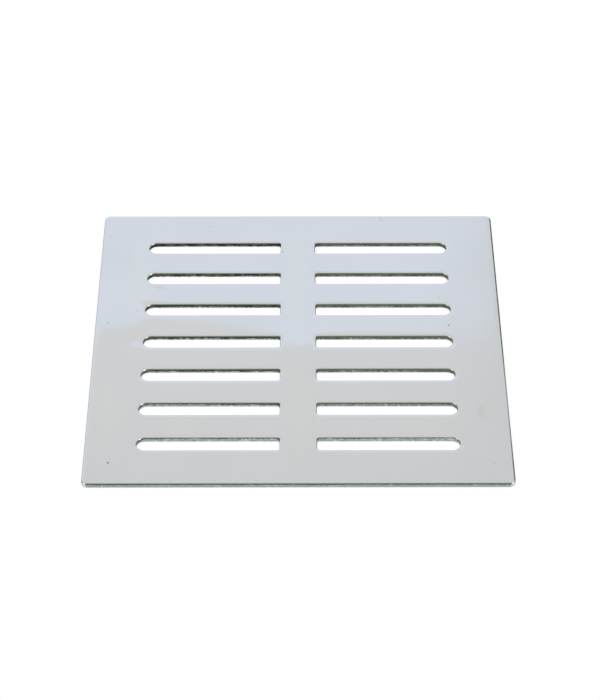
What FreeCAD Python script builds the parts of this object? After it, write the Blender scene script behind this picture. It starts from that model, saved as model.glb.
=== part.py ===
# Square drain grate: one polished sheet, blanked square and punched with two columns of slots.
# Each slot has a square inner end beside the solid centre strip and a half-round outer end.
# Millimetres, +Z up. The origin is the middle of the underside, and +X runs along the slots.
import FreeCAD, Part
import Sketcher
import math
import os

# Driving dimensions: alias, value, what it sets
DRIVING_DIMENSIONS = [
    ("plate_side", 150.0, "outer side of the square plate"),
    ("plate_thickness", 1.8, "thickness of the sheet"),
    ("corner_radius", 2.0, "plan radius of the plate's four corners"),
    ("rim_radius", 0.7, "rounding of the plate's top edge"),
    ("side_margin", 18.2, "sheet between a slot's round end and the plate's side"),
    ("end_margin", 17.25, "sheet between the first or last row and the plate's edge"),
    ("centre_strip", 13.2, "solid strip between the two columns"),
    ("slot_rows", 7, "slots in each column"),
    ("slot_width", 6.0, "width of a slot between its long walls"),
    ("slot_corner_radius", 1.0, "plan radius of the two corners at a slot's square end"),
    ("slot_rim_break", 0.35, "bevel of a slot's top edge"),
    ("underside_break", 0.2, "small bevel of every lower edge"),
]

# Formulas that place things, from the cells of the sheet
SLOT_ROUND_CENTRE_X = "sizes.plate_side / 2 - sizes.side_margin - sizes.slot_width / 2"
SLOT_INNER_END_X = "sizes.centre_strip / 2"
FIRST_ROW_FROM_CENTRE = "sizes.plate_side / 2 - sizes.end_margin - sizes.slot_width / 2"
ROW_FIELD_LENGTH = "sizes.plate_side - 2 * sizes.end_margin - sizes.slot_width"

# A sketch's own point numbers, and its origin
START, END, CENTRE = 1, 2, 3
ORIGIN_POINT = (-1, 1)
UP = FreeCAD.Vector(0, 0, 1)


def make_sheet(doc):
    """Write the driving dimensions into a spreadsheet, with a name for each cell."""
    sheet = doc.addObject("Spreadsheet::Sheet", "sizes")
    for row, (alias, value, meaning) in enumerate(DRIVING_DIMENSIONS, start=1):
        sheet.set(f"A{row}", meaning)
        sheet.set(f"B{row}", str(value))
        sheet.setAlias(f"B{row}", alias)
    doc.recompute()
    return sheet


def new_sketch(body, name):
    """A sketch on the body's own ground plane."""
    sketch = body.newObject("Sketcher::SketchObject", name)
    ground = next(plane for plane in body.Origin.OriginFeatures if plane.Role == "XY_Plane")
    sketch.AttachmentSupport = [(ground, "")]
    sketch.MapMode = "FlatFace"
    return sketch


def draw_rounded_outline(sketch, rounds):
    """Draw a closed outline anticlockwise, as straight runs that lead tangent into rounds.

    Each round is its centre's x and y, its radius and its first and last angle in degrees.
    Returns the numbers of the straight runs and of the rounds, in order.
    """
    arcs = []
    for x, y, radius, first, last in rounds:
        circle = Part.Circle(FreeCAD.Vector(x, y, 0), UP, radius)
        arcs.append(Part.ArcOfCircle(circle, math.radians(first), math.radians(last)))
    run_numbers = []
    round_numbers = []
    for before, arc in zip(arcs[-1:] + arcs[:-1], arcs):
        run_numbers.append(sketch.addGeometry(Part.LineSegment(before.EndPoint, arc.StartPoint)))
        round_numbers.append(sketch.addGeometry(arc))
    for run, bend, next_run in zip(run_numbers, round_numbers, run_numbers[1:] + run_numbers[:1]):
        sketch.addConstraint(Sketcher.Constraint("Tangent", run, END, bend, START))
        sketch.addConstraint(Sketcher.Constraint("Tangent", bend, END, next_run, START))
    return run_numbers, round_numbers


def bind(sketch, name, formula, *constraint):
    """Add a named dimension to a sketch and tie it to a formula on the sheet's cells."""
    number = sketch.addConstraint(Sketcher.Constraint(*constraint))
    sketch.renameConstraint(number, name)
    sketch.setExpression(f"Constraints.{name}", formula)


def draw_plate_outline(body, sheet):
    """The square blank, with its four rounded corners, centred on the origin."""
    sketch = new_sketch(body, "plate_outline")
    radius = sheet.corner_radius
    reach = sheet.plate_side / 2 - radius
    runs, corners = draw_rounded_outline(
        sketch,
        [
            (reach, -reach, radius, -90, 0),
            (reach, reach, radius, 0, 90),
            (-reach, reach, radius, 90, 180),
            (-reach, -reach, radius, 180, 270),
        ],
    )
    front, right, back, left = runs
    for run in (front, back):
        sketch.addConstraint(Sketcher.Constraint("Horizontal", run))
    for run in (left, right):
        sketch.addConstraint(Sketcher.Constraint("Vertical", run))
    for corner in corners[1:]:
        sketch.addConstraint(Sketcher.Constraint("Equal", corners[0], corner))
    sketch.addConstraint(
        Sketcher.Constraint("Symmetric", corners[0], CENTRE, corners[2], CENTRE, *ORIGIN_POINT)
    )
    side = sheet.plate_side
    bind(sketch, "corner_radius", "sizes.corner_radius", "Radius", corners[0], radius)
    bind(sketch, "side_to_side", "sizes.plate_side", "DistanceX", left, START, right, START, side)
    bind(sketch, "front_to_back", "sizes.plate_side", "DistanceY", front, START, back, START, side)
    return sketch


def draw_slot_outline(body, sheet):
    """The first slot of the right-hand column: square inner end, half-round outer end."""
    sketch = new_sketch(body, "slot_outline")
    half_width = sheet.slot_width / 2
    corner = sheet.slot_corner_radius
    row = sheet.plate_side / 2 - sheet.end_margin - half_width
    round_x = sheet.plate_side / 2 - sheet.side_margin - half_width
    corner_x = sheet.centre_strip / 2 + corner
    corner_reach = half_width - corner
    runs, rounds = draw_rounded_outline(
        sketch,
        [
            (round_x, -row, half_width, -90, 90),
            (corner_x, -row + corner_reach, corner, 90, 180),
            (corner_x, -row - corner_reach, corner, 180, 270),
        ],
    )
    front_wall, back_wall, inner_end = runs
    round_end, back_corner, front_corner = rounds
    sketch.addConstraint(Sketcher.Constraint("Horizontal", front_wall))
    sketch.addConstraint(Sketcher.Constraint("Horizontal", back_wall))
    sketch.addConstraint(Sketcher.Constraint("Vertical", inner_end))
    sketch.addConstraint(Sketcher.Constraint("Equal", back_corner, front_corner))
    bind(sketch, "half_width", "sizes.slot_width / 2", "Radius", round_end, half_width)
    bind(sketch, "square_end_corner", "sizes.slot_corner_radius", "Radius", back_corner, corner)
    bind(sketch, "round_centre", SLOT_ROUND_CENTRE_X,
         "DistanceX", *ORIGIN_POINT, round_end, CENTRE, round_x)
    bind(sketch, "first_row", FIRST_ROW_FROM_CENTRE,
         "DistanceY", round_end, CENTRE, *ORIGIN_POINT, row)
    bind(sketch, "square_end", SLOT_INNER_END_X,
         "DistanceX", *ORIGIN_POINT, inner_end, START, sheet.centre_strip / 2)
    return sketch


def punch_slots(body, sheet):
    """Cut the first slot right through, then repeat it by rows and mirror the column."""
    sketch = draw_slot_outline(body, sheet)
    slot = body.newObject("PartDesign::Pocket", "slot")
    slot.Profile = sketch
    slot.Type = "ThroughAll"
    slot.Reversed = True
    body.Document.recompute()

    slot_field = body.newObject("PartDesign::MultiTransform", "slot_field")
    slot_field.Originals = [slot]
    rows = body.newObject("PartDesign::LinearPattern", "rows")
    rows.Direction = (sketch, ["V_Axis"])
    rows.setExpression("Length", ROW_FIELD_LENGTH)
    rows.setExpression("Occurrences", "sizes.slot_rows")
    columns = body.newObject("PartDesign::Mirrored", "columns")
    columns.MirrorPlane = (sketch, ["V_Axis"])
    slot_field.Transformations = [rows, columns]
    body.Tip = slot_field
    body.Document.recompute()
    return slot_field


def edge_names(shape, edges):
    """The names that a solid's own edges have in it."""
    numbered = list(enumerate(shape.Edges, start=1))
    return [f"Edge{number}" for number, own in numbered if any(own.isSame(edge) for edge in edges)]


def top_face(shape):
    """The flat top of a solid: the face whose middle is highest."""
    return max(shape.Faces, key=lambda face: face.CenterOfMass.z)


def bottom_face(shape):
    """The flat underside of a solid: the face whose middle is lowest."""
    return min(shape.Faces, key=lambda face: face.CenterOfMass.z)


def dress_edges(body, kind, name, base, edges, size, formula):
    """Round or bevel the given edges of a feature, by a size tied to the sheet."""
    dressing = body.newObject(kind, name)
    dressing.Base = (base, edge_names(base.Shape, edges))
    dressing.setExpression(size, formula)
    body.Tip = dressing
    body.Document.recompute()
    return dressing


def round_edges(body, name, base, edges, formula):
    """Round edges by a radius."""
    return dress_edges(body, "PartDesign::Fillet", name, base, edges, "Radius", formula)


def bevel_edges(body, name, base, edges, formula):
    """Bevel edges by the same distance on both faces."""
    return dress_edges(body, "PartDesign::Chamfer", name, base, edges, "Size", formula)


def make_grate_plate(doc, sheet):
    """The whole plate: blank, slots, rounded outer rim and bevelled edges."""
    body = doc.addObject("PartDesign::Body", "grate_plate")
    body.Label = "grate_plate"
    body.Placement = FreeCAD.Placement()

    blank = body.newObject("PartDesign::Pad", "blank")
    blank.Profile = draw_plate_outline(body, sheet)
    blank.setExpression("Length", "sizes.plate_thickness")
    doc.recompute()

    punched = punch_slots(body, sheet)

    top = top_face(punched.Shape)
    rim = round_edges(body, "plate_rim", punched, top.OuterWire.Edges, "sizes.rim_radius")

    top = top_face(rim.Shape)
    slot_edges = [edge for wire in top.Wires if not wire.isSame(top.OuterWire) for edge in wire.Edges]
    slot_rims = bevel_edges(body, "slot_rims", rim, slot_edges, "sizes.slot_rim_break")

    underside = bottom_face(slot_rims.Shape)
    bevel_edges(body, "lower_edges", slot_rims, underside.Edges, "sizes.underside_break")
    return body


def check_document(doc, bodies):
    """Stop if any object failed, or any finished solid is missing or faulty."""
    for item in doc.Objects:
        if "Invalid" in item.State or "Error" in item.State:
            raise RuntimeError(f"{item.Label} could not be built: {item.State}")
    for body in bodies:
        if body.Shape.isNull() or not body.Shape.isValid():
            raise RuntimeError(f"{body.Label} is not a sound solid")


def main():
    """Build the plate and write it out."""
    doc = FreeCAD.newDocument("square_drain_grate")
    sheet = make_sheet(doc)
    bodies = [make_grate_plate(doc, sheet)]
    doc.recompute()
    check_document(doc, bodies)
    os.makedirs("parts", exist_ok=True)
    for body in bodies:
        body.Shape.exportStep(f"parts/{body.Label}.step")
        print(body.Label, round(body.Shape.Volume, 2), "mm3")


main()
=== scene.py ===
"""Dress the square drain grate: one polished sheet, punched with two columns of slots.

Lengths are in millimetres until a mesh is made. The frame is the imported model's: +X runs
along the slots, +Y away from the camera, +Z up, and the origin is the middle of the underside.
"""

import logging
import math
from dataclasses import dataclass
from enum import Enum
from functools import reduce
from typing import Any

import bpy
import numpy as np
from mathutils import Euler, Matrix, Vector


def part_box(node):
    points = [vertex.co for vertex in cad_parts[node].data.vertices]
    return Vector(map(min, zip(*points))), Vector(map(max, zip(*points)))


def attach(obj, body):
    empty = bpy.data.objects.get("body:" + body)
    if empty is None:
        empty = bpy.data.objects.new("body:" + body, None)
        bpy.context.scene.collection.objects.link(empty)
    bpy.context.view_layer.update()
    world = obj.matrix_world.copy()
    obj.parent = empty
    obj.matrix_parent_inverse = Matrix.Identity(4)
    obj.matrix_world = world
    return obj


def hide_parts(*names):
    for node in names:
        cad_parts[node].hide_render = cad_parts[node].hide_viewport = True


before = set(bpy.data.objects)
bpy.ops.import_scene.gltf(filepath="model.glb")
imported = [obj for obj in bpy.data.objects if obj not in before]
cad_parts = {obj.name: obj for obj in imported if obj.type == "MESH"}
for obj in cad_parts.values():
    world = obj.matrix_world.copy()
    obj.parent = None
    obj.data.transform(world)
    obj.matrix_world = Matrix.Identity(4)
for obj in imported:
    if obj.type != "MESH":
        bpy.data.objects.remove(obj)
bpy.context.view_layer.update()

MM = 0.001
PLATE_NODE = "grate_plate"
BODY = "root"
# The numbers each point of the sheet carries for its material. The third is how much painted dark
# shade a wall gets; the fourth and fifth are how high and how pale its torn part is, partly a
# painted reflection of the floor.
LAYERS = ("wall", "underside", "painted_shade", "torn_sheen_to", "paleness", "ragged")

# Points that share a step of this size, in millimetres, become one. The shift, in steps, keeps
# the plate's round sizes away from the border between two steps.
WELD_STEP = 0.0005
WELD_SHIFT = 0.137

Triple = tuple[float, float, float]
Colour = Triple
Levels = tuple[float, float]
Patch = dict[str, np.ndarray]
log = logging.getLogger("square_drain_grate")


# Shader nodes


class Value:
    """A number socket that takes part in Python arithmetic: each operation adds a Math node."""

    def __init__(self, bench: "NodeBench", socket: bpy.types.NodeSocket) -> None:
        """Keep the socket and the bench that its nodes go on."""
        self.bench = bench
        self.socket = socket

    def __add__(self, other: "Number") -> "Value":
        """This plus other."""
        return self.bench.math("ADD", self, other)

    def __radd__(self, other: "Number") -> "Value":
        """Other plus this."""
        return self.bench.math("ADD", other, self)

    def __sub__(self, other: "Number") -> "Value":
        """This less other."""
        return self.bench.math("SUBTRACT", self, other)

    def __rsub__(self, other: "Number") -> "Value":
        """Other less this."""
        return self.bench.math("SUBTRACT", other, self)

    def __mul__(self, other: "Number") -> "Value":
        """This times other."""
        return self.bench.math("MULTIPLY", self, other)

    def __rmul__(self, other: "Number") -> "Value":
        """Other times this."""
        return self.bench.math("MULTIPLY", other, self)

    def larger(self, other: "Number") -> "Value":
        """The larger of this and other."""
        return self.bench.math("MAXIMUM", self, other)

    def ramp(self, low: "Number", high: "Number") -> "Value":
        """Smooth step from 0 where this is low to 1 where it is high."""
        return self.bench.ramp(self, low, high)


Number = float | Value


@dataclass(frozen=True)
class Grain:
    """A noise: its swings a unit of length, its detail, and the stretch of the place before it."""

    scale: float
    detail: float = 2.0
    stretch: Triple = (1.0, 1.0, 1.0)


class NodeBench:
    """A node tree, cleared, and the few ways that nodes are put into it."""

    # A Mix node has sockets for several types; these are the ones for colours.
    MIX_SHARE, MIX_FIRST, MIX_SECOND, MIX_RESULT = 0, 6, 7, 2

    def __init__(self, tree: bpy.types.NodeTree) -> None:
        """Clear the tree and keep it."""
        self.tree = tree
        tree.nodes.clear()

    def node(
        self,
        kind: str,
        settings: dict[str, Any] | None = None,
        sockets: dict[int | str, Any] | None = None,
    ) -> bpy.types.Node:
        """Add a node, set its settings, then feed its sockets.

        Args:
            kind: Blender's own name for the type of node.
            settings: properties of the node, set before any socket.
            sockets: what each input gets, by the input's name or number.

        Returns:
            The new node.
        """
        made = self.tree.nodes.new(kind)
        for name, setting in (settings or {}).items():
            setattr(made, name, setting)
        for key, source in (sockets or {}).items():
            self.feed(made.inputs[key], source)
        return made

    def feed(self, socket: bpy.types.NodeSocket, source: Any) -> None:
        """Link a value or an output to an input, or set a plain number, colour or vector on it.

        Args:
            socket: the input.
            source: a Value, an output socket, a number, a colour of three or a vector.
        """
        if isinstance(source, Value):
            source = source.socket
        if isinstance(source, bpy.types.NodeSocket):
            self.tree.links.new(source, socket)
        elif socket.type == "RGBA":
            socket.default_value = (*source, 1.0)
        else:
            socket.default_value = source

    def math(self, operation: str, first: Number, second: Number) -> Value:
        """One Math node on two numbers."""
        made = self.node("ShaderNodeMath", {"operation": operation}, {0: first, 1: second})
        return Value(self, made.outputs[0])

    def ramp(self, value: Number, low: Number, high: Number) -> Value:
        """Smooth step from 0 where the value is low to 1 where it is high."""
        made = self.node(
            "ShaderNodeMapRange",
            {"interpolation_type": "SMOOTHSTEP"},
            {"Value": value, "From Min": low, "From Max": high},
        )
        return Value(self, made.outputs["Result"])

    def mix(self, first: Any, second: Any, share: Number) -> bpy.types.NodeSocket:
        """Colour that goes from the first to the second as the share goes from 0 to 1."""
        made = self.node(
            "ShaderNodeMix",
            {"data_type": "RGBA"},
            {self.MIX_SHARE: share, self.MIX_FIRST: first, self.MIX_SECOND: second},
        )
        return made.outputs[self.MIX_RESULT]

    @staticmethod
    def blend(first: Number, second: Number, share: Number) -> Value:
        """Number that goes from the first to the second as the share goes from 0 to 1."""
        return first + share * (second - first)

    def vector(self, operation: str, first: Any, second: Any) -> bpy.types.NodeSocket:
        """Vector that a Vector Math node gives for two vectors."""
        made = self.node("ShaderNodeVectorMath", {"operation": operation}, {0: first, 1: second})
        return made.outputs["Vector"]

    def measure(self, operation: str, first: Any, second: Any) -> Value:
        """Number that a Vector Math node gives for two vectors."""
        made = self.node("ShaderNodeVectorMath", {"operation": operation}, {0: first, 1: second})
        return Value(self, made.outputs["Value"])

    def parts(self, vector: Any) -> tuple[Value, Value, Value]:
        """The three parts of a vector."""
        made = self.node("ShaderNodeSeparateXYZ", sockets={0: vector})
        return tuple(Value(self, output) for output in made.outputs)

    def noise(self, place: Any, grain: Grain) -> Value:
        """Soft noise between 0 and 1."""
        stretched = self.vector("MULTIPLY", place, grain.stretch)
        made = self.node(
            "ShaderNodeTexNoise",
            sockets={"Vector": stretched, "Scale": grain.scale, "Detail": grain.detail},
        )
        return Value(self, made.outputs[0])

    def swing(self, place: Any, grain: Grain) -> Value:
        """Soft noise about its middle, between -0.5 and 0.5."""
        return self.noise(place, grain) - 0.5

    def attribute(self, name: str) -> Value:
        """A number that the mesh holds at each of its points."""
        made = self.node("ShaderNodeAttribute", {"attribute_name": name})
        return Value(self, made.outputs["Fac"])


# Finish of the sheet


@dataclass(frozen=True)
class MarkLook:
    """How a kind of mark looks: its colour, its edge's softness and grain, and how dull it is."""

    colour: Colour
    softness: float
    grain: float
    dullness: float


class MarkKind(Enum):
    """What a mark on the polished face can be, from the faintest film to a pit, with its look."""

    OLIVE_FILM = MarkLook((0.669, 0.680, 0.662), 0.95, 0.10, 0.006)
    ROSE_FILM = MarkLook((0.664, 0.660, 0.672), 0.95, 0.10, 0.006)
    GREEN_FILM = MarkLook((0.646, 0.674, 0.672), 0.95, 0.10, 0.006)
    STAIN = MarkLook((0.60, 0.575, 0.51), 0.95, 0.45, 0.10)
    SCRATCH = MarkLook((0.52, 0.50, 0.46), 0.6, 0.9, 0.16)
    PIT = MarkLook((0.16, 0.15, 0.13), 0.5, 0.9, 0.16)


@dataclass(frozen=True)
class Mark:
    """One mark on the top face: its kind, middle, half sizes, strength and turn in degrees."""

    kind: MarkKind
    x: float
    y: float
    half_x: float
    half_y: float
    strength: float
    turn: float = 0.0


@dataclass(frozen=True)
class PolishedSheet:
    """Mirror-polished steel with smeared faces, burnished walls painted dark as shade, and a torn,
    paler break, partly a painted reflection of the floor.

    The fields are the colours, the roughnesses, how strong each effect is, the noises with the
    levels between which they count, and the marks on the face.
    """

    face_colour: Colour = (0.66, 0.67, 0.68)
    smear_colour: Colour = (0.645, 0.655, 0.662)
    under_colour: Colour = (0.56, 0.57, 0.58)
    under_smear_colour: Colour = (0.50, 0.505, 0.51)
    # Painted shade: the two dark wall colours stand for the shade and the dark surround that the
    # walls reflect, not for a colour of the steel.
    painted_shade_colour: Colour = (0.029, 0.0405, 0.026)
    burnish_shade_colour: Colour = (0.215, 0.256, 0.19)
    # The break's and the flecks' pale blue is partly the torn metal's own and partly a painted
    # reflection of the white floor.
    break_sheen_colour: Colour = (0.43, 0.49, 0.512)
    fleck_sheen_colour: Colour = (0.66, 0.73, 0.73)
    face_roughness: float = 0.018
    smear_roughness: float = 0.03
    under_roughness: float = 0.2
    under_smear_roughness: float = 0.3
    wall_roughness: float = 0.3
    break_roughness: float = 0.55
    edge_shake: float = 0.8
    # How much the painted shade dulls the metal, how glossy it stays, and how much noise breaks
    # the painted shade up.
    painted_shade_dullness: float = 0.95
    painted_shade_gloss: float = 0.0
    shade_breakup: float = 0.3
    break_ragged: float = 1.6
    break_drift: float = 1.2
    break_blur: float = 0.1
    pock_depth: float = 0.6
    score_strength: float = 0.5
    score_depth: float = 0.03
    stroke_share: float = 0.3
    smear_grain: Grain = Grain(0.035, 3.0)
    stroke_grain: Grain = Grain(2.2, 3.0, (0.08, 1.0, 1.0))
    smear_levels: Levels = (0.35, 0.68)
    # Noise that breaks up the painted shade on the walls.
    shade_breakup_grain: Grain = Grain(0.5)
    shade_breakup_levels: Levels = (0.42, 0.62)
    tongue_grain: Grain = Grain(0.75, 3.0, (1.0, 1.0, 0.25))
    drift_grain: Grain = Grain(0.07, 1.0)
    pock_grain: Grain = Grain(1.4)
    pock_levels: Levels = (0.5, 0.6)
    fleck_grain: Grain = Grain(0.9, 1.0)
    fleck_levels: Levels = (0.52, 0.7)
    score_grain: Grain = Grain(3.5, 2.0, (1.0, 1.0, 0.12))
    marks: tuple[Mark, ...] = (
        Mark(MarkKind.PIT, -70.2, 10.7, 0.4, 0.4, 0.7),
        Mark(MarkKind.PIT, -66.2, -64.3, 0.45, 0.5, 0.9),
        Mark(MarkKind.PIT, -5.7, 52.4, 0.4, 0.5, 0.6),
        Mark(MarkKind.PIT, 55.7, 9.1, 0.45, 0.5, 0.8),
        Mark(MarkKind.PIT, -34.4, 68.0, 0.4, 0.4, 0.35),
        Mark(MarkKind.PIT, -72.5, 62.5, 0.4, 0.5, 0.35),
        Mark(MarkKind.PIT, -59.7, 17.7, 0.4, 0.4, 0.4),
        Mark(MarkKind.PIT, 68.2, -64.8, 0.35, 0.4, 0.3),
        Mark(MarkKind.PIT, 52.8, 24.4, 0.4, 0.4, 0.3),
        Mark(MarkKind.SCRATCH, 32.1, 72.5, 1.9, 0.42, 0.75, -50.7),
        Mark(MarkKind.STAIN, 65.1, -38.5, 2.6, 5.2, 0.5),
        Mark(MarkKind.STAIN, -52.1, 31.1, 3.3, 1.4, 0.7, -16.0),
        Mark(MarkKind.OLIVE_FILM, -59.7, 37.2, 6.5, 34.0, 0.8),
        Mark(MarkKind.OLIVE_FILM, -0.2, 35.5, 6.5, 48.0, 0.9),
        Mark(MarkKind.OLIVE_FILM, -40.1, -45.0, 13.0, 19.0, 0.6),
        Mark(MarkKind.OLIVE_FILM, -67.6, -42.3, 5.0, 24.0, 0.6),
        Mark(MarkKind.OLIVE_FILM, 0.6, -42.5, 7.0, 30.0, 0.7),
        Mark(MarkKind.OLIVE_FILM, 48.4, -42.6, 14.0, 12.0, 0.6),
        Mark(MarkKind.ROSE_FILM, 62.5, 23.6, 11.0, 26.0, 0.8),
        Mark(MarkKind.ROSE_FILM, 66.7, 67.4, 12.0, 15.0, 0.6),
        Mark(MarkKind.GREEN_FILM, 37.0, -65.6, 17.0, 7.0, 0.7),
        Mark(MarkKind.GREEN_FILM, 64.7, -65.7, 11.0, 7.0, 0.7),
    )

    def material(self) -> bpy.types.Material:
        """Make the sheet's material.

        The mesh says where a point is a wall, how much painted dark shade that wall gets, how
        high, how pale and how ragged its torn part is, partly a painted reflection of the floor,
        and what is underside. The rest comes from the point's place, in millimetres.

        Returns:
            The finished material.
        """
        made = bpy.data.materials.new("polished_sheet")
        made.use_nodes = True
        bench = NodeBench(made.node_tree)
        place = bench.node("ShaderNodeTexCoord").outputs["Object"]
        place = bench.vector("MULTIPLY", place, (1 / MM, 1 / MM, 1 / MM))
        wall = bench.attribute("wall")
        under = bench.attribute("underside")

        smear = self.smears(bench, place)
        colour = bench.mix(self.face_colour, self.smear_colour, smear)
        roughness = bench.blend(self.face_roughness, self.smear_roughness, smear)
        for kind in MarkKind:
            mask = self.mark_mask(bench, place, kind)
            colour = bench.mix(colour, kind.value.colour, mask)
            roughness = roughness + mask * kind.value.dullness

        torn_sheen, fleck_sheen, scored = self.wall_masks(bench, place)
        # Painted shade on the walls, taken from the mesh and broken up by noise, mixes the two
        # dark wall colours.
        shade_breaks = bench.noise(place, self.shade_breakup_grain).ramp(*self.shade_breakup_levels)
        painted_shade = bench.attribute("painted_shade") * (1 - shade_breaks * self.shade_breakup)
        break_sheen_colour = bench.mix(self.break_sheen_colour, self.fleck_sheen_colour, fleck_sheen)
        wall_colour = bench.mix(self.burnish_shade_colour, self.painted_shade_colour, painted_shade)
        # The torn part is paler metal, made paler still by a painted reflection of the floor.
        wall_colour = bench.mix(wall_colour, break_sheen_colour, torn_sheen * bench.attribute("paleness"))
        wall_rough = bench.blend(self.wall_roughness, self.break_roughness, torn_sheen)
        # Under the painted shade the wall is made less metallic, so that it stays dark from every
        # side.
        metallic = 1 - wall * painted_shade * (1 - torn_sheen) * self.painted_shade_dullness
        colour = bench.mix(colour, wall_colour, wall)
        roughness = bench.blend(roughness, wall_rough, wall)

        under_colour = bench.mix(self.under_colour, self.under_smear_colour, smear)
        under_rough = bench.blend(self.under_roughness, self.under_smear_roughness, smear)
        colour = bench.mix(colour, under_colour, under)
        roughness = bench.blend(roughness, under_rough, under)

        bump = bench.node(
            "ShaderNodeBump",
            sockets={
                "Strength": self.score_strength,
                "Distance": self.score_depth * MM,
                "Height": wall * scored,
            },
        )
        shader = bench.node(
            "ShaderNodeBsdfPrincipled",
            sockets={
                "Base Color": colour,
                "Metallic": metallic,
                "Roughness": roughness,
                "Specular IOR Level": self.painted_shade_gloss,
                "Normal": bump.outputs["Normal"],
            },
        )
        bench.node("ShaderNodeOutputMaterial", sockets={"Surface": shader.outputs[0]})
        return made

    def smears(self, bench: NodeBench, place: bpy.types.NodeSocket) -> Value:
        """Broad wiped smears with fine lines along the polishing stroke.

        Args:
            bench: where the nodes go.
            place: the point's place in millimetres.

        Returns:
            How smeared the point is, from 0 to 1.
        """
        broad = bench.noise(place, self.smear_grain)
        stroke = bench.noise(place, self.stroke_grain)
        return bench.blend(broad, stroke, self.stroke_share).ramp(*self.smear_levels)

    def mark_mask(
        self, bench: NodeBench, place: bpy.types.NodeSocket, kind: MarkKind
    ) -> Value:
        """All marks of a kind, each a turned ellipse with an uneven edge.

        A mark is full where its distance from the middle, counted in half sizes and shaken by
        noise, is under 1 less the softness of its kind, and gone where it is over 1.

        Args:
            bench: where the nodes go.
            place: the point's place in millimetres.
            kind: the kind of mark.

        Returns:
            The mask of the marks, from 0 to 1.
        """
        look = kind.value
        shake = bench.swing(place, Grain(look.grain)) * self.edge_shake
        masks = []
        for mark in (mark for mark in self.marks if mark.kind is kind):
            offset = bench.vector("SUBTRACT", place, (mark.x, mark.y, 0.0))
            turned = bench.node(
                "ShaderNodeVectorRotate",
                {"rotation_type": "Z_AXIS"},
                {"Vector": offset, "Angle": -math.radians(mark.turn)},
            )
            share = (1 / mark.half_x, 1 / mark.half_y, 0.0)
            offset = bench.vector("MULTIPLY", turned.outputs[0], share)
            away = bench.measure("LENGTH", offset, (0.0, 0.0, 0.0)) + shake
            masks.append((1 - away.ramp(1 - look.softness, 1.0)) * mark.strength)
        return reduce(Value.larger, masks)

    def wall_masks(
        self, bench: NodeBench, place: bpy.types.NodeSocket
    ) -> tuple[Value, Value, Value]:
        """The torn lower part of a punched wall, its flecks, and the punch's upright score lines.

        The torn part reaches up to the height that the mesh gives, along a line that drifts up
        and down the wall and has ragged tongues. Small dark pocks break it up. The torn part and
        its pale flecks are partly a painted reflection of the floor.

        Args:
            bench: where the nodes go.
            place: the point's place in millimetres.

        Returns:
            How torn the point is, how bright a fleck it is, both partly painted reflection, and
            how deeply scored.
        """
        _, _, height = bench.parts(place)
        ragged = bench.attribute("ragged")
        tongues = bench.swing(place, self.tongue_grain) * self.break_ragged
        drift = bench.swing(place, self.drift_grain) * self.break_drift
        line = bench.attribute("torn_sheen_to") + (tongues + drift) * ragged
        pocks = bench.noise(place, self.pock_grain).ramp(*self.pock_levels) * ragged
        torn_sheen = (line - height).ramp(-self.break_blur, self.break_blur)
        torn_sheen = torn_sheen * (1 - pocks * self.pock_depth)
        fleck_sheen = bench.noise(place, self.fleck_grain).ramp(*self.fleck_levels) * ragged
        return torn_sheen, fleck_sheen, bench.noise(place, self.score_grain)


# Shape of the sheet


class Column(Enum):
    """Which side of the centre strip a slot is on; the value is the sign of its x."""

    LEFT = -1
    RIGHT = 1


@dataclass(frozen=True)
class ColumnWear:
    """How the walls of one column of slots are worn and carry painted shade and reflection.

    How high and how pale the back row is torn, partly a painted reflection of the floor, and by
    which power both grow towards the front, how ragged the torn part is in the outer rows and in
    the middle one, how much less painted dark shade the column gets, and by how much more of the
    rim's turn the far quarter of the round end stays polished.
    """

    back_torn_sheen: float
    back_paleness: float
    torn_sheen_growth: float
    outer_ragged: float
    middle_ragged: float
    # How much the painted shade on this column's walls is lessened.
    painted_shade_loss: float
    end_polish: float


@dataclass(frozen=True)
class CutPath:
    """A closed line along which the sheet was cut, walked with the metal on its right hand.

    Arrays of plan points: the wall itself, the direction into the metal, and the border of the
    patch of sheet that belongs to the cut.
    """

    wall: np.ndarray
    metal: np.ndarray
    border: np.ndarray

    def backwards(self) -> "CutPath":
        """The same line walked the other way round."""
        return CutPath(self.wall[::-1], self.metal[::-1], self.border[::-1])

    def mirrored(self, sign: int) -> "CutPath":
        """The line as it is for sign 1, or on the other side of the centre line for -1."""
        flip = np.array([sign, 1.0])
        turned = CutPath(self.wall * flip, self.metal * flip, self.border * flip)
        return turned if sign > 0 else turned.backwards()

    def moved(self, y: float) -> "CutPath":
        """The line, this far along Y."""
        step = np.array([0.0, y])
        return CutPath(self.wall + step, self.metal, self.border + step)


@dataclass(frozen=True)
class WallLook:
    """How a cut's wall looks at each point of its path, as six arrays.

    How much painted dark shade it gets, how high its torn part reaches, how pale that part is,
    partly by a painted reflection of the floor, and how ragged, how much of the wall is polished
    bright, and at what share of the rim's turn, from face to wall, it begins. BLEND is the share
    of that turn over which it comes in.
    """

    BLEND = 0.2

    # How much painted dark shade each point of the wall gets.
    painted_shade: np.ndarray
    torn_sheen_to: np.ndarray
    paleness: np.ndarray
    ragged: np.ndarray
    bright: np.ndarray
    start: np.ndarray


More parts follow.
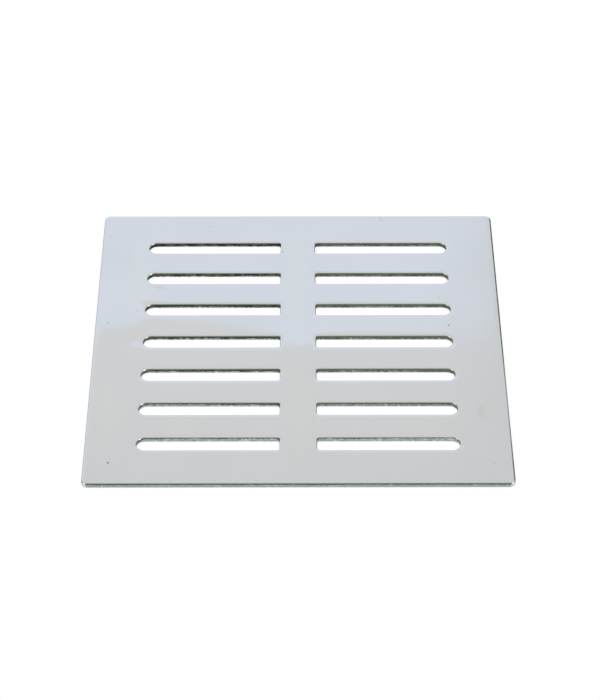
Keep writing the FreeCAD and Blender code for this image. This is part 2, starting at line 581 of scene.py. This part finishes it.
@dataclass(frozen=True)
class CutSection:
    """Section through a cut edge, from the top face over the rim and down to the underside."""

    thickness: float
    rim_radius: float
    lower_break: float
    lean: float
    face_steps: int = 12
    rim_steps: int = 9
    wall_steps: int = 8
    under_steps: int = 5
    crowding: float = 2.2

    def points(self) -> tuple[np.ndarray, ...]:
        """Work out the section.

        The face comes in from the border, closer spaced towards the rim. The rim is a quarter
        circle. The wall leans back by the square of the depth, as torn metal does, then the
        lower edge is bevelled and the underside goes back to the border.

        Returns:
            For each point: how far it stands into the metal, its height, its share of the way
            to the border, how far the rim has turned from face to wall, from 0 to 1, and how
            much it is underside.
        """
        ahead = np.linspace(1.0, 0.0, self.face_steps, endpoint=False) ** self.crowding
        turn = np.linspace(0.0, math.pi / 2, self.rim_steps)
        down = np.linspace(0.0, 1.0, self.wall_steps)[1:]
        back = np.linspace(0.0, 1.0, self.under_steps) ** self.crowding
        wall_top = self.thickness - self.rim_radius
        inset = np.concatenate([
            np.full(ahead.size, self.rim_radius),
            self.rim_radius * (1 - np.sin(turn)),
            self.lean * down ** 2,
            np.full(back.size, self.lean + self.lower_break),
        ])
        height = np.concatenate([
            np.full(ahead.size, self.thickness),
            self.thickness - self.rim_radius * (1 - np.cos(turn)),
            wall_top + (self.lower_break - wall_top) * down,
            np.zeros(back.size),
        ])
        share = np.concatenate([ahead, np.zeros(turn.size + down.size), back])
        turned = np.concatenate([
            np.zeros(ahead.size), turn / (math.pi / 2), np.ones(down.size), np.zeros(back.size)
        ])
        under = np.concatenate([
            np.zeros(ahead.size + turn.size + down.size), np.ones(back.size)
        ])
        return inset, height, share, turned, under


@dataclass(frozen=True)
class Hollow:
    """A shallow hollow left in the sheet by flattening: its middle, its spreads and its depth."""

    x: float
    y: float
    spread_x: float
    spread_y: float
    depth: float

    def at(self, x: np.ndarray, y: np.ndarray) -> np.ndarray:
        """How far the face drops there: the depth times a bell curve in x and in y."""
        return -self.depth * np.exp(
            -0.5 * ((x - self.x) / self.spread_x) ** 2 - 0.5 * ((y - self.y) / self.spread_y) ** 2
        )


@dataclass(frozen=True)
class Rub:
    """A stretch of the plate's edge rubbed bright: its middle, its spread and its share."""

    x: float
    y: float
    spread: float
    share: float

    def at(self, points: np.ndarray) -> np.ndarray:
        """How bright the edge is rubbed there: the share times a bell curve of the distance."""
        away = np.linalg.norm(points - np.array([self.x, self.y]), axis=1)
        return self.share * np.exp(-0.5 * (away / self.spread) ** 2)


@dataclass
class GratePlate:
    """The one piece: a square sheet with two columns of slots.

    The fields are the sizes of the sheet and of its cuts, the looks of its walls, the steps of the
    mesh, and the places where the edge is rubbed and the face hollow.
    """

    finish: PolishedSheet
    corner_radius: float = 2.0
    rim_radius: float = 0.7
    side_margin: float = 18.2
    end_margin: float = 17.25
    centre_strip: float = 13.2
    rows: int = 7
    slot_width: float = 6.0
    slot_corner_radius: float = 1.0
    slot_rim_radius: float = 0.45
    slot_lower_break: float = 0.05
    lower_break: float = 0.2
    torn_lean: float = 0.05
    edge_lean: float = 0.02
    roll_depth: float = 0.022
    roll_width: float = 0.65
    # Painted shade on the slot walls in the back and front rows, and how high the front row's torn
    # part reaches, with its painted floor reflection.
    back_painted_shade: float = 1.0
    front_painted_shade: float = 0.75
    front_torn_sheen: float = 1.4
    left_wear: ColumnWear = ColumnWear(
        back_torn_sheen=0.36,
        back_paleness=1.0,
        torn_sheen_growth=3.0,
        outer_ragged=0.65,
        middle_ragged=1.0,
        painted_shade_loss=0.0,
        end_polish=0.15,
    )
    right_wear: ColumnWear = ColumnWear(
        back_torn_sheen=0.5,
        back_paleness=0.6,
        torn_sheen_growth=5.0,
        outer_ragged=0.75,
        middle_ragged=1.4,
        painted_shade_loss=0.29,
        end_polish=-0.03,
    )
    torn_sheen_end_loss: float = 0.5
    corner_polish: float = 0.5
    # Painted shade on the outer edge, heavier on the right and at the back, and the height,
    # paleness and raggedness of its torn part, partly a painted floor reflection.
    edge_painted_shade: float = 0.7
    edge_painted_shade_right: float = 0.3
    edge_painted_shade_back: float = 0.3
    edge_torn_sheen: float = 1.3
    edge_paleness: float = 0.82
    edge_ragged: float = 0.5
    edge_start: float = 0.2
    edge_start_right: float = -0.2
    slot_start: float = 0.45
    strip_patch: float = 4.0
    end_patch: float = 3.5
    steps_along: int = 46
    steps_across: int = 22
    steps_corner: int = 5
    steps_strip: int = 8
    sharp_angle: float = 32.0
    rubs: tuple[Rub, ...] = (Rub(x=75.0, y=-35.0, spread=16.0, share=0.45),)
    hollows: tuple[Hollow, ...] = (
        Hollow(-76.0, -6.0, 7.0, 13.0, 0.025),
        Hollow(-45.0, -6.0, 17.5, 13.0, 0.072),
        Hollow(0.0, 16.0, 7.0, 12.0, 0.07),
        Hollow(71.0, -6.0, 8.0, 13.0, 0.034),
        Hollow(62.0, 17.0, 5.5, 12.0, 0.028),
        Hollow(-55.0, 20.5, 4.2, 1.9, 0.034),
        Hollow(-53.5, 8.5, 3.5, 4.0, 0.011),
        Hollow(-59.6, 1.2, 2.1, 2.4, 0.019),
    )

    def __post_init__(self) -> None:
        """Take the plate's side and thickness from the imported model, and place the slots."""
        low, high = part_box(PLATE_NODE)
        self.half_side = (high.x - low.x) / 2 / MM
        self.thickness = (high.z - low.z) / MM
        self.half_slot = self.slot_width / 2
        self.inner_end = self.centre_strip / 2
        self.round_centre = self.half_side - self.side_margin - self.half_slot
        first_row = self.half_side - self.end_margin - self.half_slot
        self.row_middles = np.linspace(first_row, -first_row, self.rows)
        self.pitch = 2 * first_row / (self.rows - 1)
        self.field_x = self.round_centre + self.half_slot + self.end_patch
        self.field_y = first_row + self.pitch / 2

    def build(self) -> bpy.types.Object:
        """Make the plate's mesh and dress it.

        Returns:
            The plate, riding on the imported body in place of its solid.
        """
        rim = self.rim_path()
        patches = [self.carry(rim, self.edge_section(), self.edge_look(rim))]
        for middle, forward in zip(self.row_middles, np.linspace(0.0, 1.0, self.rows)):
            for column in Column:
                path = self.slot_path().mirrored(column.value).moved(middle)
                look = self.slot_look(path, column, forward)
                patches.append(self.carry(path, self.slot_section(), look))
        patches.append(self.strip(self.thickness, 1))
        patches.append(self.strip(0.0, -1))
        piece = self.joined(patches)
        piece.data.materials.append(self.finish.material())
        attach(piece, BODY)
        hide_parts(PLATE_NODE)
        return piece

    def edge_section(self) -> CutSection:
        """Section of the plate's outer edge."""
        return CutSection(self.thickness, self.rim_radius, self.lower_break, self.edge_lean)

    def slot_section(self) -> CutSection:
        """Section of a slot's edge."""
        return CutSection(
            self.thickness, self.slot_rim_radius, self.slot_lower_break, self.torn_lean
        )

    def edge_look(self, path: CutPath) -> WallLook:
        """How the plate's outer edge looks: painted shade by the side it faces, bright where it is
        worn.

        The corners are polished, and so is each rubbed stretch between them.

        Args:
            path: the plate's outline.

        Returns:
            The look at each point of the path.
        """
        # Painted shade, heavier on the right and at the back, by the direction into the metal.
        painted_shade = self.edge_painted_shade - path.metal @ np.array([self.edge_painted_shade_right, self.edge_painted_shade_back])
        cornering = 2 * np.abs(path.metal[:, 0] * path.metal[:, 1])
        bright = cornering ** self.corner_polish + sum(rub.at(path.wall) for rub in self.rubs)
        return WallLook(
            painted_shade=painted_shade,
            torn_sheen_to=np.full(painted_shade.size, self.edge_torn_sheen),
            paleness=np.full(painted_shade.size, self.edge_paleness),
            ragged=np.full(painted_shade.size, self.edge_ragged),
            bright=np.clip(bright, 0.0, 1.0),
            start=self.edge_start - path.metal[:, 0] * self.edge_start_right,
        )

    def slot_look(self, path: CutPath, column: Column, forward: float) -> WallLook:
        """How a slot's wall looks: less painted shade, paler and more torn towards the front, the
        paleness partly a painted reflection of the floor, and less torn at its ends.

        The torn part is most ragged in the middle row. In the far corner of the square end the
        painted shade reaches right over the rim; on the far quarter of the round end it begins
        where the column's wear says.

        Args:
            path: the slot's outline.
            column: the slot's column.
            forward: the place of its row, from 0 at the back to 1 at the front.

        Returns:
            The look at each point of the path.
        """
        wear = self.left_wear if column is Column.LEFT else self.right_wear
        sideways = np.abs(path.metal[:, 0])
        outward = path.metal[:, 0] * column.value
        far = np.clip(path.metal[:, 1], 0.0, None)
        inner_corner = 2 * np.clip(-outward, 0.0, None) * far
        outer_corner = 2 * np.clip(outward, 0.0, None) * far
        # Painted shade, heaviest in the back row; the torn part's height and paleness grow towards
        # the front as the painted floor reflection does.
        painted_shade = self.back_painted_shade + forward * (self.front_painted_shade - self.back_painted_shade)
        grown = forward ** wear.torn_sheen_growth
        torn_sheen = wear.back_torn_sheen + grown * (self.front_torn_sheen - wear.back_torn_sheen)
        paleness = wear.back_paleness + grown * (1 - wear.back_paleness)
        midway = 4 * forward * (1 - forward)
        ragged = wear.outer_ragged + midway * (wear.middle_ragged - wear.outer_ragged)
        return WallLook(
            painted_shade=np.full(sideways.size, painted_shade - wear.painted_shade_loss),
            torn_sheen_to=torn_sheen * (1 - self.torn_sheen_end_loss * sideways),
            paleness=np.full(sideways.size, paleness),
            ragged=np.full(sideways.size, ragged),
            bright=np.zeros(sideways.size),
            start=self.slot_start * (1 - inner_corner) + wear.end_polish * outer_corner,
        )

    def slot_path(self) -> CutPath:
        """The outline of a right-hand slot in the row at y = 0, anticlockwise.

        Front wall outwards, half circle, back wall inwards, then the square end with its two
        small corner arcs. Each of the four sides has its own side of a rectangular border.

        Returns:
            The path, with the metal on its right hand.
        """
        corner, half = self.slot_corner_radius, self.half_slot
        near = self.inner_end + corner
        run = np.linspace(near, self.round_centre, self.steps_along, endpoint=False)
        back_run = np.linspace(self.round_centre, near, self.steps_along, endpoint=False)
        sweep = np.linspace(-math.pi / 2, math.pi / 2, self.steps_across, endpoint=False)
        bend = np.linspace(0.0, math.pi / 2, self.steps_corner, endpoint=False)
        flat_steps = self.steps_across - 2 * self.steps_corner
        end_run = np.linspace(half - corner, corner - half, flat_steps, endpoint=False)
        end_turn = np.concatenate([
            math.pi / 2 + bend, np.full(flat_steps, math.pi), math.pi + bend
        ])
        end_middle_y = np.concatenate([
            np.full(bend.size, half - corner), end_run, np.full(bend.size, corner - half)
        ])
        end_middle = np.stack([np.full(end_turn.size, near), end_middle_y], 1)
        turn = np.concatenate([
            np.full(run.size, -math.pi / 2), sweep, np.full(back_run.size, math.pi / 2), end_turn
        ])
        metal = np.stack([np.cos(turn), np.sin(turn)], 1)
        wall = np.concatenate([
            np.stack([run, np.full(run.size, -half)], 1),
            np.stack([self.round_centre + half * np.cos(sweep), half * np.sin(sweep)], 1),
            np.stack([back_run, np.full(back_run.size, half)], 1),
            end_middle + corner * metal[-end_turn.size:],
        ])
        return CutPath(wall, metal, self.slot_border())

    def slot_border(self) -> np.ndarray:
        """The rectangle round a right-hand slot at y = 0, with as many points as its outline.

        Returns:
            Plan points, anticlockwise from the inner front corner.
        """
        half = self.pitch / 2
        along = np.linspace(self.strip_patch, self.field_x, self.steps_along, endpoint=False)
        inward = np.linspace(self.field_x, self.strip_patch, self.steps_along, endpoint=False)
        away = np.linspace(-half, half, self.steps_across, endpoint=False)
        return np.concatenate([
            np.stack([along, np.full(along.size, -half)], 1),
            np.stack([np.full(away.size, self.field_x), away], 1),
            np.stack([inward, np.full(inward.size, half)], 1),
            np.stack([np.full(away.size, self.strip_patch), -away], 1),
        ])

    def rim_path(self) -> CutPath:
        """The plate's own outline, clockwise, from the border of the slots' field outwards.

        Each side runs from the middle of one corner arc to the middle of the next.

        Returns:
            The path, with the metal on its right hand.
        """
        front = np.concatenate([
            np.linspace(-self.field_x, -self.strip_patch, self.steps_along, endpoint=False),
            np.linspace(-self.strip_patch, self.strip_patch, self.steps_strip, endpoint=False),
            np.linspace(self.strip_patch, self.field_x, self.steps_along, endpoint=False),
        ])
        side = np.linspace(
            -self.field_y, self.field_y, self.rows * self.steps_across, endpoint=False
        )
        front_wall, front_out = self.rounded_side(front.size)
        side_wall, side_out = self.rounded_side(side.size)
        quarter_turn = np.array([[0.0, 1.0], [-1.0, 0.0]])
        side_wall, side_out = side_wall @ quarter_turn, side_out @ quarter_turn
        wall = np.concatenate([front_wall, side_wall, -front_wall, -side_wall])
        outward = np.concatenate([front_out, side_out, -front_out, -side_out])
        border = np.concatenate([
            np.stack([front, np.full(front.size, -self.field_y)], 1),
            np.stack([np.full(side.size, self.field_x), side], 1),
            np.stack([-front, np.full(front.size, self.field_y)], 1),
            np.stack([np.full(side.size, -self.field_x), -side], 1),
        ])
        return CutPath(wall, -outward, border).backwards()

    def rounded_side(self, count: int) -> tuple[np.ndarray, np.ndarray]:
        """The front side of the square outline, from corner middle to corner middle.

        Half a corner arc, the straight run, half a corner arc: the arc's centre slides along
        while its angle stays, and the angle turns while the centre stays.

        Args:
            count: how many points the side has, its last end left out.

        Returns:
            The points and the outward directions.
        """
        reach = self.half_side - self.corner_radius
        bends = self.steps_corner
        bend = np.linspace(0.0, math.pi / 4, bends, endpoint=False)
        straight = count - 2 * bends
        turn = np.concatenate([bend - math.pi / 4, np.zeros(straight), bend])
        centre = np.concatenate([
            np.full(bends, -reach),
            np.linspace(-reach, reach, straight, endpoint=False),
            np.full(bends, reach),
        ])
        outward = np.stack([np.sin(turn), -np.cos(turn)], 1)
        middle = np.stack([centre, np.full(count, -reach)], 1)
        return middle + self.corner_radius * outward, outward

    def carry(self, path: CutPath, section: CutSection, look: WallLook) -> Patch:
        """Carry a section round a path.

        A point is the wall's point moved into the metal by the section's inset, and then by its
        share of the way to the border. Near the cut the face rolls down: the roll's depth times
        a bell curve of the distance from the rim.

        Args:
            path: the closed line of the cut.
            section: the section through its edge.
            look: how the wall looks along the path.

        Returns:
            The patch: its points, its quads and the numbers that the material reads.
        """
        inset, height, share, turned, under = section.points()
        cut = path.wall[:, None, :] + path.metal[:, None, :] * inset[None, :, None]
        plan = cut + (path.border[:, None, :] - cut) * share[None, :, None]
        away = np.linalg.norm(plan - cut, axis=2)
        roll = -self.roll_depth * np.exp(-((away / self.roll_width) ** 2)) * (1 - share)[None, :]
        drop = (self.sag(plan[..., 0], plan[..., 1]) + roll) * (height / self.thickness)[None, :]
        level = height[None, :] + drop
        wall = (turned[None, :] - look.start[:, None]) / look.BLEND
        around, deep = level.shape
        index = np.arange(around * deep).reshape(around, deep)
        after = np.roll(index, -1, axis=0)
        quads = np.stack([index[:, :-1], after[:, :-1], after[:, 1:], index[:, 1:]], -1)
        return {
            "points": np.concatenate([plan, level[..., None]], 2).reshape(-1, 3),
            "quads": quads.reshape(-1, 4),
            "wall": (np.clip(wall, 0.0, 1.0) * (1 - look.bright)[:, None]).reshape(-1),
            "underside": np.tile(under, around),
            "painted_shade": np.repeat(look.painted_shade, deep),
            "torn_sheen_to": np.repeat(look.torn_sheen_to, deep),
            "paleness": np.repeat(look.paleness, deep),
            "ragged": np.repeat(look.ragged, deep),
        }

    def strip(self, height: float, facing: int) -> Patch:
        """A flat grid over the middle of the centre strip.

        Args:
            height: the top face's height, or 0 for the underside.
            facing: 1 for upwards, -1 for downwards.

        Returns:
            The patch, as carry gives it.
        """
        across = np.linspace(-self.strip_patch, self.strip_patch, self.steps_strip + 1)
        along = np.linspace(-self.field_y, self.field_y, self.rows * self.steps_across + 1)
        x, y = np.meshgrid(across, along, indexing="ij")
        level = height + self.sag(x, y) * height / self.thickness
        index = np.arange(x.size).reshape(x.shape)
        quads = np.stack([index[:-1, :-1], index[1:, :-1], index[1:, 1:], index[:-1, 1:]], -1)
        patch = {name: np.zeros(x.size) for name in LAYERS}
        patch["underside"] = np.full(x.size, (1 - facing) / 2)
        patch["points"] = np.stack([x, y, level], -1).reshape(-1, 3)
        patch["quads"] = quads.reshape(-1, 4)[:, ::facing]
        return patch

    def sag(self, x: np.ndarray, y: np.ndarray) -> np.ndarray:
        """How far the polished face lies below a true plane: the sum of the hollows."""
        return sum(hollow.at(x, y) for hollow in self.hollows)

    def joined(self, patches: list[Patch]) -> bpy.types.Object:
        """Join the patches at their borders and put them into one mesh.

        Args:
            patches: as carry and strip give them.

        Returns:
            The new object, at the origin, with its place in its mesh.
        """
        starts = np.cumsum([0] + [len(patch["points"]) for patch in patches[:-1]])
        points = np.concatenate([patch["points"] for patch in patches])
        quads = np.concatenate([patch["quads"] + start for patch, start in zip(patches, starts)])
        grid = np.round(points / WELD_STEP + WELD_SHIFT).astype(np.int64)
        _, first, welded = np.unique(grid, axis=0, return_index=True, return_inverse=True)
        mesh = bpy.data.meshes.new(PLATE_NODE + "_sheet")
        mesh.from_pydata((points[first] * MM).tolist(), [], welded.reshape(-1)[quads].tolist())
        for name in LAYERS:
            numbers = np.concatenate([patch[name] for patch in patches])[first]
            layer = mesh.attributes.new(name, "FLOAT", "POINT")
            layer.data.foreach_set("value", numbers.astype(np.float32))
        mesh.polygons.foreach_set("use_smooth", np.ones(len(mesh.polygons), bool))
        mesh.set_sharp_from_angle(angle=math.radians(self.sharp_angle))
        mesh.validate()
        mesh.update()
        piece = bpy.data.objects.new("polished_grate", mesh)
        bpy.context.scene.collection.objects.link(piece)
        return piece


# Studio


def rise(elevation: float) -> float:
    """How far up a direction at this elevation points: the sine of the elevation."""
    return math.sin(math.radians(elevation))


def direction(azimuth: float, elevation: float) -> Triple:
    """Unit vector towards an azimuth, from straight ahead to the right, and an elevation."""
    turn, level = math.radians(azimuth), math.cos(math.radians(elevation))
    return (math.sin(turn) * level, math.cos(turn) * level, rise(elevation))


@dataclass(frozen=True)
class SkyPatch:
    """A round patch of the surround with its own brightness, by its middle and its radius."""

    azimuth: float
    elevation: float
    radius: float
    softness: float
    colour: Colour
    both_sides: bool = False

    def middles(self) -> list[Triple]:
        """The directions of the patch, and of its twin on the left where it has one."""
        sides = (1, -1) if self.both_sides else (1,)
        return [direction(side * self.azimuth, self.elevation) for side in sides]


@dataclass(frozen=True)
class Surround:
    """The plain studio all round: a cool wall under a pale ceiling, and a soft room behind."""

    wall_colour: Colour = (0.967, 1.024, 1.108)
    ceiling_colour: Colour = (0.946, 0.944, 0.942)
    high_ceiling_colour: Colour = (0.908, 0.908, 0.910)
    overhead_colour: Colour = (0.61, 0.606, 0.572)
    room_colour: Colour = (0.80, 0.80, 0.79)
    ceiling_line: float = 40.652
    line_softness: float = 0.1
    high_ceiling: float = 44.5
    overhead_from: float = 54.0
    overhead_to: float = 72.0
    room_levels: Levels = (-0.1, 0.3)
    patches: tuple[SkyPatch, ...] = (
        SkyPatch(180.0, 55.0, 34.0, 12.0, (0.37, 0.375, 0.345)),
        SkyPatch(36.0, 14.0, 17.0, 6.0, (0.40, 0.41, 0.38)),
        SkyPatch(14.0, 39.0, 6.5, 3.0, (0.90, 0.92, 0.97)),
        SkyPatch(14.0, 44.0, 6.5, 3.0, (0.88, 0.89, 0.893)),
        SkyPatch(88.0, 32.0, 36.0, 14.0, (0.50, 0.51, 0.47), both_sides=True),
        SkyPatch(102.0, 53.0, 10.5, 5.0, (3.2, 3.2, 3.2), both_sides=True),
        SkyPatch(111.0, 41.0, 10.5, 5.0, (3.2, 3.2, 3.2), both_sides=True),
        SkyPatch(118.0, 30.0, 9.0, 5.0, (1.25, 1.25, 1.25), both_sides=True),
    )

    def build(self) -> None:
        """Make the world: a direction's colour comes from its height, its side and the patches."""
        world = bpy.data.worlds.new("studio_surround")
        bpy.context.scene.world = world
        world.use_nodes = True
        bench = NodeBench(world.node_tree)
        ray = bench.node("ShaderNodeTexCoord").outputs["Generated"]
        _, ahead, up = bench.parts(ray)
        line = up.ramp(
            rise(self.ceiling_line - self.line_softness),
            rise(self.ceiling_line + self.line_softness),
        )
        higher = up.ramp(rise(self.ceiling_line), rise(self.high_ceiling))
        ceiling = bench.mix(self.ceiling_colour, self.high_ceiling_colour, higher)
        light = bench.mix(self.wall_colour, ceiling, line)
        overhead = up.ramp(rise(self.overhead_from), rise(self.overhead_to))
        light = bench.mix(light, self.overhead_colour, overhead)
        light = bench.mix(light, self.room_colour, (0 - ahead).ramp(*self.room_levels))
        for patch in self.patches:
            rim = math.cos(math.radians(patch.radius + patch.softness / 2))
            core = math.cos(math.radians(patch.radius - patch.softness / 2))
            for middle in patch.middles():
                near = bench.measure("DOT_PRODUCT", ray, middle)
                light = bench.mix(light, patch.colour, near.ramp(rim, core))
        shade = bench.node("ShaderNodeBackground", sockets={"Color": light, "Strength": 1.0})
        bench.node("ShaderNodeOutputWorld", sockets={"Surface": shade.outputs[0]})


@dataclass(frozen=True)
class PaleFloor:
    """The plain floor under the plate, white to the eye, with the plate's soft shadow on it."""

    reach: float = 4000.0
    drop: float = 0.05
    paper_colour: Colour = (0.92, 0.92, 0.92)
    grain_colour: Colour = (0.90, 0.90, 0.90)
    paper_grain: Grain = Grain(40.0)
    own_light: float = 0.9

    def build(self) -> bpy.types.Object:
        """Lay the floor.

        Returns:
            The floor.
        """
        x, y = np.meshgrid([-self.reach, self.reach], [-self.reach, self.reach], indexing="ij")
        points = np.stack([x, y, np.full(x.shape, -self.drop)], -1).reshape(-1, 3)
        mesh = bpy.data.meshes.new("pale_floor")
        mesh.from_pydata((points * MM).tolist(), [], [(0, 2, 3, 1)])
        mesh.materials.append(self.material())
        floor = bpy.data.objects.new("pale_floor", mesh)
        bpy.context.scene.collection.objects.link(floor)
        return floor

    def material(self) -> bpy.types.Material:
        """Paper that takes shadow, mixed with its own white for the camera and for reflections.

        Returns:
            The floor's material.
        """
        made = bpy.data.materials.new("pale_floor")
        made.use_nodes = True
        bench = NodeBench(made.node_tree)
        place = bench.node("ShaderNodeTexCoord").outputs["Object"]
        grain = bench.noise(place, self.paper_grain)
        colour = bench.mix(self.paper_colour, self.grain_colour, grain)
        paper = bench.node("ShaderNodeBsdfDiffuse", sockets={"Color": colour})
        white = bench.node(
            "ShaderNodeEmission", sockets={"Color": (1.0, 1.0, 1.0), "Strength": 1.0}
        )
        ray = bench.node("ShaderNodeLightPath").outputs
        seen = Value(bench, ray["Is Camera Ray"])
        for other in ("Is Glossy Ray", "Is Transmission Ray"):
            seen = seen.larger(Value(bench, ray[other]))
        shade = bench.node(
            "ShaderNodeMixShader",
            sockets={0: seen * self.own_light, 1: paper.outputs[0], 2: white.outputs[0]},
        )
        bench.node("ShaderNodeOutputMaterial", sockets={"Surface": shade.outputs[0]})
        return made


@dataclass(frozen=True)
class SoftLamp:
    """A soft square lamp that points at the plate, by its direction, distance, side and power."""

    name: str
    azimuth: float
    elevation: float
    distance: float = 1300.0
    side: float = 700.0
    power: float = 6.0

    def build(self) -> bpy.types.Object:
        """Hang the lamp.

        Returns:
            The lamp, which reflections don't show.
        """
        data = bpy.data.lights.new(self.name, "AREA")
        data.size = self.side * MM
        data.energy = self.power
        lamp = bpy.data.objects.new(self.name, data)
        towards = Vector(direction(self.azimuth, self.elevation))
        lamp.location = towards * self.distance * MM
        lamp.rotation_euler = towards.to_track_quat("Z", "Y").to_euler()
        lamp.visible_glossy = False
        bpy.context.scene.collection.objects.link(lamp)
        return lamp


@dataclass(frozen=True)
class PhotographCamera:
    """The photograph's camera, with its focal length in pixels of a 600 x 700 image."""

    x: float = -0.7
    y: float = -690.0
    z: float = 598.4
    look_down: float = 41.044
    turn_right: float = 0.115
    focal_pixels: float = 2485.8
    long_side_pixels: int = 700
    sensor: float = 36.0
    nearest: float = 10.0
    farthest: float = 20000.0

    def build(self) -> bpy.types.Object:
        """Set up the camera.

        Returns:
            The scene's camera.
        """
        data = bpy.data.cameras.new("photograph_camera")
        data.sensor_width = self.sensor
        data.lens = self.focal_pixels / self.long_side_pixels * self.sensor
        data.clip_start, data.clip_end = self.nearest * MM, self.farthest * MM
        camera = bpy.data.objects.new("photograph_camera", data)
        camera.location = Vector((self.x, self.y, self.z)) * MM
        camera.rotation_euler = Euler(
            (math.radians(90 - self.look_down), 0.0, -math.radians(self.turn_right))
        )
        bpy.context.scene.collection.objects.link(camera)
        bpy.context.scene.camera = camera
        return camera


def report(piece: bpy.types.Object) -> None:
    """Log a finished piece with its count of points and faces."""
    mesh = piece.data
    log.info("%s: %d points, %d faces", piece.name, len(mesh.vertices), len(mesh.polygons))


def main() -> None:
    """Build the plate, the studio and the camera, in that order."""
    logging.basicConfig(level=logging.INFO, format="%(name)s: %(message)s")
    bpy.context.scene.view_settings.view_transform = "Standard"
    report(GratePlate(PolishedSheet()).build())
    report(PaleFloor().build())
    Surround().build()
    SoftLamp("left_lamp", azimuth=-75.0, elevation=55.0).build()
    SoftLamp("right_lamp", azimuth=75.0, elevation=60.0).build()
    PhotographCamera().build()


if __name__ == "__main__":
    main()
